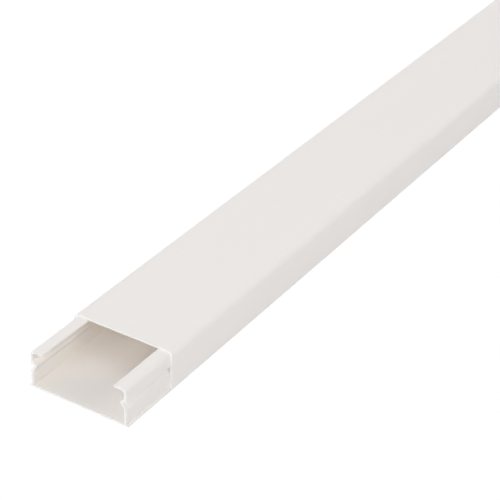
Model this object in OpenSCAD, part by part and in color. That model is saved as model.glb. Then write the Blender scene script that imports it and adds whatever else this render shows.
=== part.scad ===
// Snap-lid cable trunking: a base channel and a lid that clips over its walls.
// Both pieces are plain extrusions, drawn as sections across X (width) and Z (height).
// The back face lies on Z = 0, the length runs along Y and the shown end is at -Y.

/* [Lengths] */
// Length of the base channel
base_len = 2000; // [200:10:3000]
// Length of the lid
lid_len = 2000; // [200:10:3000]
// How far the lid is slid back from the near end of the base
lid_setback = 30.7; // [0:0.1:150]

/* [Base channel] */
// Width over the two feet
base_w = 50; // [44:0.5:80]
// Height from the back face to the top of the lips
base_h = 18.2; // [17:0.1:40]
// Thickness of the floor and the feet
floor_t = 0.85; // [0.8:0.05:2]
// Thickness of the side walls
wall_t = 1.1; // [0.8:0.05:1.4]
// Distance that each foot stands out past its wall
foot_w = 0.95; // [0.8:0.05:2]
// Rounding of the upper edge of the foot
foot_r = 0.4; // [0.2:0.05:0.4]
// Width of the mouth between the two lips
mouth_w = 35.5; // [20:0.1:36]
// Thickness of the in-turned lips
lip_t = 1.15; // [0.8:0.05:1.4]
// Outer radius of the shoulder between wall and lip
shoulder_r = 2; // [1.5:0.1:3]
// Fillet between the floor and the inner face of the walls
corner_r = 0.5; // [0.2:0.05:1]

/* [Snap groove] */
// Height of the ledge that the lid's barb catches under
ledge_z = 11.4; // [9.5:0.05:12]
// Depth of the groove from the outer face of the wall
groove_d = 1.75; // [1.3:0.05:2]
// Rounding at the root of the groove
groove_r = 0.35; // [0.2:0.05:0.5]
// Lean of the groove's lower flank from upright, in degrees
flank_lean = 32; // [25:1:40]
// Slope of the top of the inner bulge from level, in degrees
bulge_slope = 40; // [20:1:50]

/* [Lid] */
// Thickness of the lid
lid_t = 1.1; // [0.8:0.05:1.4]
// Clearance between the lid and the base all round
lid_clear = 0.05; // [0.05:0.05:0.4]
// Rounding of the two edges at the foot of each leg
leg_r = 0.25; // [0.1:0.05:0.35]
// Distance that each barb reaches in from the leg
barb_l = 0.95; // [0.8:0.05:1.2]
// Thickness of the barb at its round tip
barb_t = 0.6; // [0.4:0.05:0.8]
// Slope of the barb's lead-in face from level, in degrees
barb_lead = 40; // [30:1:50]
// Gap between the top of the barb and the ledge
barb_gap = 0.6; // [0.2:0.05:1]

/* [Hidden] */

$fn = 64;
pvc_white = [0.92, 0.906, 0.894];

// Outer and inner faces of the base walls
wall_x = base_w / 2 - foot_w;
wall_in = wall_x - wall_t;
// Underside of the lips
lip_z = base_h - lip_t;

// Inner and outer faces of the lid, which follow the base at the clearance
lid_in = wall_x + lid_clear;
lid_out = lid_in + lid_t;
lid_under = base_h + lid_clear;
lid_top = lid_under + lid_t;
lid_in_r = shoulder_r + lid_clear;
leg_z = floor_t + lid_clear;

// Centre of the groove's round root
root = [wall_x - groove_d + groove_r, ledge_z - groove_r];
// Centre of the barb's round tip
barb_tip = [lid_in - barb_l + barb_t / 2, ledge_z - barb_gap - barb_t / 2];

// Upright rectangle from z0 to z1 whose two upper corners are rounded
module arch_section(half_w, z0, z1, r) {
    translate([-half_w, z0]) square([2 * half_w, z1 - r - z0]);
    translate([r - half_w, z0]) square([2 * (half_w - r), z1 - z0]);
    for (side = [-1, 1]) translate([side * (half_w - r), z1 - r]) circle(r);
}

// Level strip from x0 to x1 that stands on z0, whose two lower corners are rounded
module tray_section(x0, x1, z0, z1, r) {
    translate([x0, z0 + r]) square([x1 - x0, z1 - z0 - r]);
    translate([x0 + r, z0]) square([x1 - x0 - 2 * r, z1 - z0]);
    for (x = [x0 + r, x1 - r]) translate([x, z0 + r]) circle(r);
}

// The same shape on both sides of the middle
module both_sides() {
    children();
    mirror([1, 0]) children();
}

// Wedge with a round nose at the origin, whose sides run off at two angles to +X
module nosed_wedge(r, low, high, reach) {
    circle(r);
    for (angle = [low, high]) rotate(angle) translate([0, -r]) square([reach, 2 * r]);
    polygon([[0, 0], reach * [cos(low), sin(low)], reach * [cos(high), sin(high)]]);
}

// Hollow of the snap groove: a level ledge above and a leaning flank below a round root
module groove_section() {
    translate(root) nosed_wedge(groove_r, flank_lean - 90, 0, base_w / 2);
}

// Inner bulge that carries the wall round the groove at its own thickness
module bulge_section() {
    translate(root) nosed_wedge(groove_r + wall_t, flank_lean - 90, bulge_slope, base_w / 2);
}

// Space for the cables, narrowed by the two bulges
module cable_way_section() {
    difference() {
        union() {
            arch_section(wall_in, floor_t + 2 * corner_r, lip_z, shoulder_r - wall_t);
            tray_section(-wall_in, wall_in, floor_t, floor_t + 3 * corner_r, corner_r);
        }
        both_sides() bulge_section();
    }
}

// Base channel: feet, floor, grooved walls and round-edged lips
module base_section() {
    difference() {
        union() {
            arch_section(wall_x, 0, base_h, shoulder_r);
            arch_section(base_w / 2, 0, floor_t, foot_r);
        }
        cable_way_section();
        both_sides() groove_section();
        translate([-(mouth_w + lip_t) / 2, floor_t]) square([mouth_w + lip_t, base_h]);
    }
    for (side = [-1, 1]) translate([side * (mouth_w + lip_t) / 2, base_h - lip_t / 2]) circle(lip_t / 2);
}

// Barb that ends in the heart of the lid's leg, level on top with a sloping lead-in below
module barb_section() {
    intersection() {
        translate(barb_tip) nosed_wedge(barb_t / 2, -barb_lead, 0, lid_out);
        square([lid_in + lid_t / 2, lid_top]);
    }
}

// Lid: a shallow arch whose legs reach down to the feet
module lid_section() {
    difference() {
        arch_section(lid_out, leg_z + 2 * leg_r, lid_top, lid_in_r + lid_t);
        arch_section(lid_in, 0, lid_under, lid_in_r);
    }
    for (x = [-lid_out, lid_in]) tray_section(x, x + lid_t, leg_z, leg_z + 3 * leg_r, leg_r);
    both_sides() barb_section();
}

// Extrudes a section along Y for a length, from its near end
module stock(near_y, len) {
    translate([0, near_y + len, 0]) rotate([90, 0, 0]) linear_extrude(len) children();
}

module base_channel() {
    color(pvc_white) stock(-base_len / 2, base_len) base_section();
}

module lid() {
    color(pvc_white) stock(-base_len / 2 + lid_setback, lid_len) lid_section();
}

base_channel();
lid();
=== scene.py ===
"""Studio picture of snap-lid cable trunking: a base channel with its lid slid back from the cut end.

Both pieces are the CAD extrusions themselves, dressed in rigid PVC as it leaves the die and the saw.
Lengths are in metres, X runs across the trunking, Y along it and Z up from the back face.
"""

import math

import bpy
from mathutils import Matrix, Vector

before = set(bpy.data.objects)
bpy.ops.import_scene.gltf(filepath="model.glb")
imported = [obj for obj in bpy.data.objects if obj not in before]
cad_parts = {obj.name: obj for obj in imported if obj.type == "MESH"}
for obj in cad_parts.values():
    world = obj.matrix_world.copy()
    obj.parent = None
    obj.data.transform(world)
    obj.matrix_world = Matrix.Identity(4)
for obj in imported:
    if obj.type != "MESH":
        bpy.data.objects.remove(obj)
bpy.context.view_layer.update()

MM = 0.001

# Camera, fitted to the section's corners and the long edges in the photograph
IMAGE_SIDE = 500
FOCAL_PIXELS = 1698.7
SENSOR_WIDTH = 36.0
CAMERA_AZIMUTH = 31.121
CAMERA_ELEVATION = 31.702
CAMERA_ROLL = 2.258
CAMERA_RIGHT = 69.96 * MM
CAMERA_UP = 63.61 * MM
CAMERA_BACK = 692.57 * MM
CLIP_START, CLIP_END = 0.01, 200.0
SHOWN_END = Vector((0.0, -1.0, 0.0))

# Light, at about the level where a colour renders as it is written
WORLD_HEX = "#ECF0FF"
WORLD_LEVEL = 0.232
WHITE_HEX = "#FFFFFF"
WHITE_LEVEL = 1.0
BOX_DISTANCE = 5.0
BOX_HEX = "#FEFFFF"
# Each soft box: name, level, azimuth and elevation in degrees, and side in metres
SOFT_BOXES = (
    ("camera_box", 0.303, 31.0, 32.0, 1.7),
    ("front_box", 0.540, 0.0, 20.0, 3.0),
    ("right_box", 0.144, 98.0, 30.0, 2.25),
    ("right_front_box", 0.078, 70.0, 30.0, 3.0),
    ("left_low_box", 0.178, -90.0, 20.0, 3.0),
    ("left_high_box", 0.203, -90.0, 45.0, 5.7),
    ("back_box", 0.269, 180.0, 20.0, 3.0),
    ("top_box", 0.107, 0.0, 89.0, 3.0),
)
# A white channel passes light from wall to wall many times before it fades
BOUNCES = 32

# Floor, a pale sheet that shows white to the camera and keeps a faint shadow. Near the trunking the
# glow is a share of what shows, and lit paint the rest. Between two distances from the trunking's
# middle the share grows until the glow alone is white, as the lamps hardly light the sheet out there.
FLOOR_HALF = 60.0
FLOOR_DROP = 0.05 * MM
FLOOR_HEX = "#ECECEE"
FLOOR_GLOW = 1.1
FLOOR_GLOW_SHARE = 0.8
FLOOR_NEAR = 2.0
FLOOR_FAR = 5.0


def linear(hex_colour):
    """An sRGB hex colour as linear red, green, blue and alpha: a channel c becomes
    c / 12.92 up to 0.04045, and ((c + 0.055) / 1.055) to the power 2.4 above it."""
    channels = [int(hex_colour[i : i + 2], 16) / 255 for i in (1, 3, 5)]
    curve = [c / 12.92 if c <= 0.04045 else ((c + 0.055) / 1.055) ** 2.4 for c in channels]
    return (*curve, 1.0)


# Places of a Mix node's sockets: two numbers, two colours, and the mixed colour
NUMBER_A, NUMBER_B = 2, 3
COLOUR_A, COLOUR_B, COLOUR_OUT = 6, 7, 2


def add(tree, kind, inputs=None, **settings):
    """Adds a shader node of that kind, sets its properties, and fills its input sockets,
    each from another node's output socket or with a plain value."""
    made = tree.nodes.new("ShaderNode" + kind)
    for name, value in settings.items():
        setattr(made, name, value)
    for socket, value in (inputs or {}).items():
        if isinstance(value, bpy.types.NodeSocket):
            tree.links.new(value, made.inputs[socket])
        else:
            made.inputs[socket].default_value = value
    return made


def empty_tree(owner):
    """Turns on the node tree of a material or a world and empties it."""
    owner.use_nodes = True
    owner.node_tree.nodes.clear()
    return owner.node_tree


def per_metre(across, along, up):
    """Pattern scale for features of these sizes, in millimetres, across, along and up the piece."""
    return (1 / (across * MM), 1 / (along * MM), 1 / (up * MM))


# Rigid PVC, extruded. To the eye it is an even warm white satin. The die draws faint lines along the
# length, the cooling tank leaves soft clouds in the gloss and a slight peel, and the saw leaves a
# duller face at each end, scored in shallow arcs. The cut faces take a cooler, greyer white, darkened
# further as painted shade that tones down the light on the ends. Pattern sizes are in millimetres.
# Real die lines lie a few tenths apart; these are drawn coarser, so that they can show at all.
DIE_LINE = (1.6, 900.0, 1.6)
CLOUD = (26.0, 110.0, 26.0)
PEEL = (0.8, 1.5, 0.8)
# Finer layers in each pattern, and the band that nearly all of the noise lies in
DIE_DETAIL = 3.0
CLOUD_DETAIL = 2.0
PEEL_DETAIL = 1.0
SAW_DETAIL = 2.0
NOISE_LOW, NOISE_HIGH = 0.3, 0.7
# The saw's tooth marks are a few hundredths apart, drawn coarser for the same reason
SAW_PITCH = 0.45
SAW_CENTRE = (60.0, 0.0, -140.0)
SAW_WAVER = 0.8
# Keeps X and Z, so that the arcs are the same at both ends
CUT_PLANE = (1, 0, 1)
# A wave texture's phase, in radians for each unit of its scaled coordinate
WAVE_RADIANS = 20.0
DIE_DEPTH = 0.002 * MM
PEEL_DEPTH = 0.002 * MM
SAW_DEPTH = 0.012 * MM
CUT_NORMAL = 0.7
CUT_ROUGHNESS = 0.72
PVC_IOR = 1.54
BODY_HEX = "#F0EBE5"
STREAK_HEX = "#EFEAE4"
# Colours of the cut faces: a saw cut's cooler white, darker still as painted shade on the ends, each
# matched to its own piece
BASE_CUT_AND_SHADE_HEX = "#DCDAD7"
LID_CUT_AND_SHADE_HEX = "#E0DEDB"
# Roughness of the drawn faces, least and most
BASE_SATIN = (0.54, 0.62)
LID_SATIN = (0.52, 0.60)


def extruded_pvc(name, cut_and_shade_hex, satin):
    """Satin extruded PVC. The die noise is stretched along Y into draw lines, the cloud noise moves
    the roughness between the two satin values, and a face whose normal lies along Y is a saw cut:
    it takes the cut's colour, which is partly painted shade, a dull finish and rings about a far
    centre, as a saw blade scores it."""
    material = bpy.data.materials.new(name)
    tree = empty_tree(material)
    coords = add(tree, "TexCoord").outputs
    place = coords["Object"]
    die_at = add(tree, "Mapping", {"Vector": place, "Scale": per_metre(*DIE_LINE)})
    die = add(tree, "TexNoise", {"Vector": die_at.outputs[0], "Scale": 1.0, "Detail": DIE_DETAIL})
    cloud_at = add(tree, "Mapping", {"Vector": place, "Scale": per_metre(*CLOUD)})
    cloud_in = {"Vector": cloud_at.outputs[0], "Scale": 1.0, "Detail": CLOUD_DETAIL}
    cloud = add(tree, "TexNoise", cloud_in)
    peel_at = add(tree, "Mapping", {"Vector": place, "Scale": per_metre(*PEEL)})
    peel = add(tree, "TexNoise", {"Vector": peel_at.outputs[0], "Scale": 1.0, "Detail": PEEL_DETAIL})
    saw_at = add(tree, "Mapping", {"Vector": place, "Location": [-c * MM for c in SAW_CENTRE]})
    saw_flat = add(tree, "VectorMath", {0: saw_at.outputs[0], 1: CUT_PLANE}, operation="MULTIPLY")
    saw_scale = 2 * math.pi / (WAVE_RADIANS * SAW_PITCH * MM)
    saw_in = {"Vector": saw_flat.outputs[0], "Scale": saw_scale}
    saw_in |= {"Distortion": SAW_WAVER, "Detail": SAW_DETAIL}
    saw = add(tree, "TexWave", saw_in, wave_type="RINGS", rings_direction="SPHERICAL")

    normal = add(tree, "SeparateXYZ", {0: coords["Normal"]})
    lengthwise = add(tree, "Math", {0: normal.outputs["Y"]}, operation="ABSOLUTE")
    cut = add(tree, "Math", {0: lengthwise.outputs[0], 1: CUT_NORMAL}, operation="GREATER_THAN")
    drawn = add(tree, "Math", {0: 1.0, 1: cut.outputs[0]}, operation="SUBTRACT")

    spread = {"From Min": NOISE_LOW, "From Max": NOISE_HIGH}
    streak = add(tree, "MapRange", spread | {"Value": die.outputs[0]})
    body_in = {0: streak.outputs[0], COLOUR_A: linear(BODY_HEX), COLOUR_B: linear(STREAK_HEX)}
    body = add(tree, "Mix", body_in, data_type="RGBA").outputs[COLOUR_OUT]
    # The cut faces take their own colour, a cooler white darkened partly as painted shade on the ends
    colour_in = {0: cut.outputs[0], COLOUR_A: body, COLOUR_B: linear(cut_and_shade_hex)}
    colour = add(tree, "Mix", colour_in, data_type="RGBA").outputs[COLOUR_OUT]
    gloss_in = {"Value": cloud.outputs[0], "To Min": satin[0], "To Max": satin[1]}
    gloss = add(tree, "MapRange", spread | gloss_in)
    rough_in = {0: cut.outputs[0], NUMBER_A: gloss.outputs[0], NUMBER_B: CUT_ROUGHNESS}
    rough = add(tree, "Mix", rough_in)

    lines_in = {"Height": die.outputs[0], "Strength": drawn.outputs[0], "Distance": DIE_DEPTH}
    lines = add(tree, "Bump", lines_in)
    skin_in = {"Height": peel.outputs[0], "Strength": drawn.outputs[0], "Distance": PEEL_DEPTH}
    skin = add(tree, "Bump", skin_in | {"Normal": lines.outputs[0]})
    score_in = {"Height": saw.outputs["Fac"], "Strength": cut.outputs[0], "Distance": SAW_DEPTH}
    score = add(tree, "Bump", score_in | {"Normal": skin.outputs[0]})

    shader_in = {"Base Color": colour, "Roughness": rough.outputs[0], "IOR": PVC_IOR}
    shader = add(tree, "BsdfPrincipled", shader_in | {"Normal": score.outputs[0]})
    add(tree, "OutputMaterial", {"Surface": shader.outputs[0]})
    return material


def dress(node, material):
    """Gives a CAD piece its material, in place of the ones it came with."""
    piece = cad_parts[node]
    piece.data.materials.clear()
    piece.data.materials.append(material)


dress("base_channel", extruded_pvc("base_satin_pvc", BASE_CUT_AND_SHADE_HEX, BASE_SATIN))
dress("lid", extruded_pvc("lid_satin_pvc", LID_CUT_AND_SHADE_HEX, LID_SATIN))


def seen_directly(tree):
    """One for a ray by which the camera sees the stage, straight or by way of gloss or glass, and
    nought for any other."""
    path = add(tree, "LightPath").outputs
    gloss_in = {0: path["Is Camera Ray"], 1: path["Is Glossy Ray"]}
    gloss = add(tree, "Math", gloss_in, operation="MAXIMUM")
    glass_in = {0: gloss.outputs[0], 1: path["Is Transmission Ray"]}
    return add(tree, "Math", glass_in, operation="MAXIMUM").outputs[0]


def white_studio():
    """A world that lights the object evenly and looks white to the camera."""
    world = bpy.data.worlds.new("white_studio")
    tree = empty_tree(world)
    light = add(tree, "Background", {"Color": linear(WORLD_HEX), "Strength": WORLD_LEVEL})
    white = add(tree, "Background", {"Color": linear(WHITE_HEX), "Strength": WHITE_LEVEL})
    either = add(tree, "MixShader", {0: seen_directly(tree), 1: light.outputs[0], 2: white.outputs[0]})
    add(tree, "OutputWorld", {"Surface": either.outputs[0]})
    bpy.context.scene.world = world


def pale_floor():
    """A wide level sheet just under the back face. To the camera most of it glows white and the rest
    is lit paint, so the shadow under the trunking shows, but faintly."""
    square = ((-1, -1), (1, -1), (1, 1), (-1, 1))
    corners = [(x * FLOOR_HALF, y * FLOOR_HALF, -FLOOR_DROP) for x, y in square]
    mesh = bpy.data.meshes.new("floor")
    mesh.from_pydata(corners, [], [(0, 1, 2, 3)])
    floor = bpy.data.objects.new("floor", mesh)
    bpy.context.scene.collection.objects.link(floor)
    paper = bpy.data.materials.new("pale_paper")
    tree = empty_tree(paper)
    lit = add(tree, "BsdfDiffuse", {"Color": linear(FLOOR_HEX)})
    glow = add(tree, "Emission", {"Color": linear(WHITE_HEX), "Strength": FLOOR_GLOW})
    place = add(tree, "TexCoord").outputs["Object"]
    distance = add(tree, "VectorMath", {0: place}, operation="LENGTH").outputs["Value"]
    fade_in = {"Value": distance, "From Min": FLOOR_NEAR, "From Max": FLOOR_FAR}
    fade_in |= {"To Min": FLOOR_GLOW_SHARE, "To Max": WHITE_LEVEL / FLOOR_GLOW}
    fade = add(tree, "MapRange", fade_in)
    share = add(tree, "Math", {0: seen_directly(tree), 1: fade.outputs[0]}, operation="MULTIPLY")
    either = add(tree, "MixShader", {0: share.outputs[0], 1: lit.outputs[0], 2: glow.outputs[0]})
    add(tree, "OutputMaterial", {"Surface": either.outputs[0]})
    mesh.materials.append(paper)


def toward(azimuth, elevation):
    """Unit vector to a place at that azimuth, from -Y towards +X, and elevation, in degrees."""
    turn, lift = math.radians(azimuth), math.radians(elevation)
    return Vector((math.sin(turn) * math.cos(lift), -math.cos(turn) * math.cos(lift), math.sin(lift)))


def soft_box(name, level, azimuth, elevation, side):
    """A square lamp in that direction from the shown end, turned to it. A level of one lights a
    surface there that faces it fully: its flux is level times (pi times distance) squared.
    It lights the object but isn't mirrored in it, as the photograph shows no highlight."""
    direction = toward(azimuth, elevation)
    lamp = bpy.data.lights.new(name, "AREA")
    lamp.shape = "SQUARE"
    lamp.size = side
    lamp.energy = level * (math.pi * BOX_DISTANCE) ** 2
    lamp.color = linear(BOX_HEX)[:3]
    holder = bpy.data.objects.new(name, lamp)
    turn = direction.to_track_quat("Z", "Y").to_matrix().to_4x4()
    holder.matrix_world = Matrix.Translation(SHOWN_END + direction * BOX_DISTANCE) @ turn
    holder.visible_glossy = False
    bpy.context.scene.collection.objects.link(holder)


def photo_camera():
    """A camera turned to the photograph's azimuth, elevation and roll, and set off from the
    shown end along its own right, up and back."""
    back = toward(CAMERA_AZIMUTH, CAMERA_ELEVATION)
    level = toward(CAMERA_AZIMUTH + 90, 0)
    roll = math.radians(CAMERA_ROLL)
    upright = back.cross(level)
    right = level * math.cos(roll) + upright * math.sin(roll)
    up = upright * math.cos(roll) - level * math.sin(roll)
    place = SHOWN_END + right * CAMERA_RIGHT + up * CAMERA_UP + back * CAMERA_BACK
    camera = bpy.data.cameras.new("camera")
    camera.sensor_width = SENSOR_WIDTH
    camera.lens = FOCAL_PIXELS * SENSOR_WIDTH / IMAGE_SIDE
    camera.clip_start = CLIP_START
    camera.clip_end = CLIP_END
    holder = bpy.data.objects.new("camera", camera)
    turn = Matrix((right, up, back)).transposed().to_4x4()
    holder.matrix_world = Matrix.Translation(place) @ turn
    bpy.context.scene.collection.objects.link(holder)
    bpy.context.scene.camera = holder


white_studio()
pale_floor()
for box in SOFT_BOXES:
    soft_box(*box)
photo_camera()
bpy.context.scene.cycles.max_bounces = BOUNCES
bpy.context.scene.cycles.diffuse_bounces = BOUNCES
bpy.context.scene.view_settings.view_transform = "Standard"
